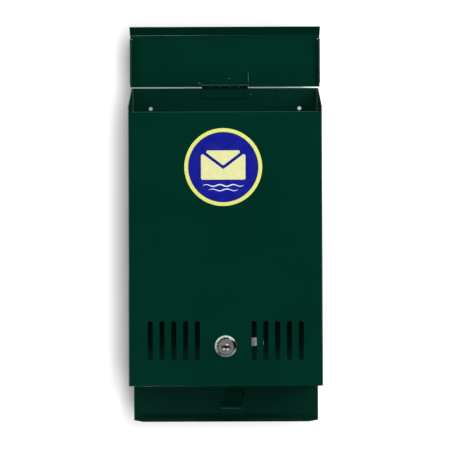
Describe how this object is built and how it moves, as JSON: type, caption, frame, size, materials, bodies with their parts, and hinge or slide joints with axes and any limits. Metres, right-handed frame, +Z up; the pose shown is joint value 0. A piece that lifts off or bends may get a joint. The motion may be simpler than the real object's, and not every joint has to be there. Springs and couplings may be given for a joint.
{
  "type": "wall mailbox",
  "caption": "Narrow sheet-steel wall mailbox with a flap lid over the letter mouth, a drop door underneath, vent slots and a cam lock.",
  "frame": {"origin": "midway between the centres of the two wall screw holes, on the rear face that lies on the wall", "axes": "+X to the right seen from the front, +Y from the front towards the wall, +Z up"},
  "size_m": [0.204, 0.0514, 0.4222],
  "materials": {
    "green_paint": "gloss powder coat",
    "label_vinyl": "printed vinyl",
    "pin_steel": "bare steel",
    "lock_chrome": "polished chrome",
    "zinc_plate": "bright zinc plate",
    "zinc_cast": "satin cast zinc",
    "brass": "stamped brass",
    "spring_wire": "drawn wire"
  },
  "bodies": {
    "body": {"front_shell": "green_paint", "back_plate": "green_paint", "label": "label_vinyl", "lid_hinge_fixed_leaf": "green_paint", "door_hinge_fixed_leaf": "green_paint", "lock_housing": "lock_chrome", "lock_nut": "zinc_plate"},
    "lid": {"lid": "green_paint", "lid_hinge_moving_leaf": "green_paint", "lid_hinge_pin": "pin_steel"},
    "door": {"drop_door": "green_paint", "door_hinge_moving_leaf": "green_paint", "door_hinge_pin": "pin_steel", "latch_bracket": "green_paint"},
    "lock_core": {"lock_plug": "zinc_cast", "lock_wafers": "brass", "lock_springs": "spring_wire", "stop_washer": "zinc_plate", "lock_cam": "zinc_plate", "cam_washer": "zinc_plate", "cam_screw": "zinc_plate"}
  },
  "joints": [
    {"name": "lid_hinge", "type": "hinge", "parent": "body", "child": "lid", "pos_m": [0, -0.003, 0.0242], "axis": [1, 0, 0], "range_deg": [0, 123.3]},
    {"name": "door_hinge", "type": "hinge", "parent": "body", "child": "door", "pos_m": [0, -0.003, -0.2911], "axis": [-1, 0, 0], "range_deg": [0, 90]},
    {"name": "lock_turn", "type": "hinge", "parent": "body", "child": "lock_core", "pos_m": [0, -0.049, -0.251], "axis": [0, 1, 0], "range_deg": [0, 96]}
  ]
}
